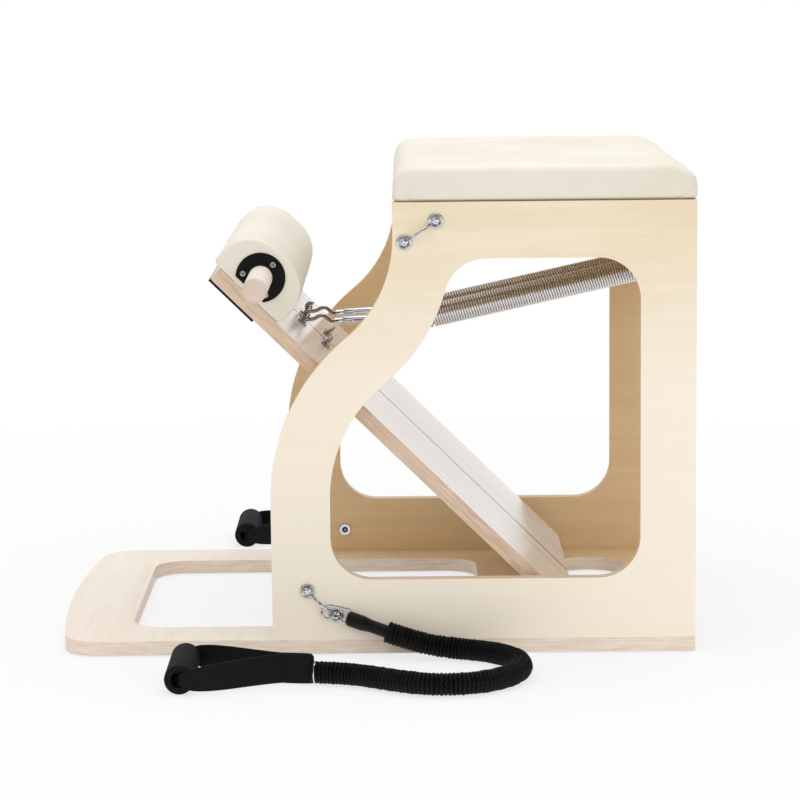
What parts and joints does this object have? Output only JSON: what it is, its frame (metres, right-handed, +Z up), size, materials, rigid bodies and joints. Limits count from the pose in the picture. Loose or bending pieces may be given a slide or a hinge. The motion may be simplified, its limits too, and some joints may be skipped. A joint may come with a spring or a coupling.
{
  "type": "pilates chair",
  "caption": "Plywood exercise chair with a padded seat on curved side panels, hinged sprung foot pedals joined by a dowel, and elastic tubes with handles clipped to its sides.",
  "frame": {"origin": "on the floor, under the middle of the base board", "axes": "+X towards the chair's back, +Y towards the user's right, +Z up"},
  "size_m": [0.8099, 1.0627, 0.613],
  "materials": {
    "plywood": "clear lacquer",
    "dowel_wood": "sanded beech",
    "vinyl": "cream upholstery vinyl",
    "chrome": "polished",
    "spring_steel": "nickel plated",
    "screw_steel": "zinc plated",
    "black_plastic": "fine grain",
    "black_rubber": "moulded",
    "black_fabric": "woven nylon",
    "elastic": "latex tube"
  },
  "bodies": {
    "frame": {"base_board": "plywood", "left_side_panel": "plywood", "right_side_panel": "plywood", "spring_rail": "plywood", "seat_cleats": "plywood", "seat_board": "plywood", "seat_cushion": "vinyl", "seat_screws": "screw_steel", "panel_screws": "screw_steel", "rail_dowels": "plywood", "foot_pads": "black_rubber", "anchor_eyes": "chrome", "frame_screws": "screw_steel", "eye_straps": "chrome", "strap_bolts": "chrome", "strap_nuts": "chrome", "hinge_base_leaves": "screw_steel", "hinge_pins": "screw_steel", "cord_links": "chrome", "tube_boots": "black_rubber", "elastic_tubes": "elastic", "left_tube_sleeve": "black_fabric", "right_tube_sleeve": "black_fabric", "tab_rings": "chrome", "handle_straps": "black_fabric", "handle_grips": "black_rubber", "grip_cores": "black_plastic"},
    "left_pedal": {"left_pedal_board": "plywood", "left_hinge_leaf": "screw_steel", "left_pedal_pad": "vinyl", "left_pad_core": "plywood", "left_pad_end_plate": "black_plastic", "left_bumper_strip": "black_rubber", "left_pad_eyes": "chrome", "left_pedal_screws": "screw_steel"},
    "right_pedal": {"right_pedal_board": "plywood", "right_hinge_leaf": "screw_steel", "right_pedal_pad": "vinyl", "right_pad_core": "plywood", "right_pad_end_plate": "black_plastic", "right_bumper_strip": "black_rubber", "right_pad_eyes": "chrome", "right_pedal_screws": "screw_steel"},
    "link_dowel": {"link_dowel": "dowel_wood"},
    "left_upper_spring_tail": {"left_upper_spring_tail": "spring_steel", "left_upper_spring_coil": "spring_steel"},
    "left_upper_spring_cap": {"left_upper_spring_cap": "chrome"},
    "left_upper_spring_hook": {"left_upper_spring_hook": "chrome"},
    "right_upper_spring_tail": {"right_upper_spring_tail": "spring_steel", "right_upper_spring_coil": "spring_steel"},
    "right_upper_spring_cap": {"right_upper_spring_cap": "chrome"},
    "right_upper_spring_hook": {"right_upper_spring_hook": "chrome"}
  },
  "joints": [
    {"name": "left_pedal_hinge", "type": "hinge", "parent": "frame", "child": "left_pedal", "pos_m": [0.243, -0.12475, 0.027], "axis": [0, -1, 0], "range_deg": [0, 45.5], "stiffness_Nm_per_rad": 65, "springref_deg": -25.78},
    {"name": "right_pedal_hinge", "type": "hinge", "parent": "frame", "child": "right_pedal", "pos_m": [0.243, 0.12475, 0.027], "axis": [0, -1, 0], "range_deg": [0, 45.5], "stiffness_Nm_per_rad": 65, "springref_deg": -25.78},
    {"name": "dowel_draw", "type": "slide", "parent": "left_pedal", "child": "link_dowel", "axis": [0, -1, 0], "range_m": [0, 0.42]},
    {"name": "left_upper_spring_swing", "type": "hinge", "parent": "frame", "child": "left_upper_spring_tail", "pos_m": [0.3745, -0.045, 0.463], "axis": [0, -1, 0], "range_deg": [-0.5, 21.9]},
    {"name": "left_upper_spring_stretch", "type": "slide", "parent": "left_upper_spring_tail", "child": "left_upper_spring_cap", "axis": [-0.9768, 0, -0.2139], "range_m": [-0.002, 0.28465], "deforming": ["left_upper_spring_coil"]},
    {"name": "left_upper_spring_hook_turn", "type": "hinge", "parent": "left_pedal", "child": "left_upper_spring_hook", "pos_m": [-0.08241, -0.045, 0.40056], "axis": [0, -1, 0], "range_deg": [-15.07, 0.5]},
    {"name": "right_upper_spring_swing", "type": "hinge", "parent": "frame", "child": "right_upper_spring_tail", "pos_m": [0.3745, 0.045, 0.463], "axis": [0, -1, 0], "range_deg": [-0.5, 21.9]},
    {"name": "right_upper_spring_stretch", "type": "slide", "parent": "right_upper_spring_tail", "child": "right_upper_spring_cap", "axis": [-0.9768, 0, -0.2139], "range_m": [-0.002, 0.28465], "deforming": ["right_upper_spring_coil"]},
    {"name": "right_upper_spring_hook_turn", "type": "hinge", "parent": "right_pedal", "child": "right_upper_spring_hook", "pos_m": [-0.08241, 0.045, 0.40056], "axis": [0, -1, 0], "range_deg": [-15.07, 0.5]}
  ],
  "couplings": [
    {"joint": "right_pedal_hinge", "follows": "left_pedal_hinge", "ratio": 1},
    {"joint": "left_upper_spring_swing", "follows": "left_pedal_hinge", "ratio": 0.47026},
    {"joint": "left_upper_spring_stretch", "follows": "left_pedal_hinge", "m_per_rad": 0.35592},
    {"joint": "left_upper_spring_hook_turn", "follows": "left_pedal_hinge", "ratio": -0.32033},
    {"joint": "right_upper_spring_swing", "follows": "left_pedal_hinge", "ratio": 0.47026},
    {"joint": "right_upper_spring_stretch", "follows": "left_pedal_hinge", "m_per_rad": 0.35592},
    {"joint": "right_upper_spring_hook_turn", "follows": "left_pedal_hinge", "ratio": -0.32033}
  ]
}
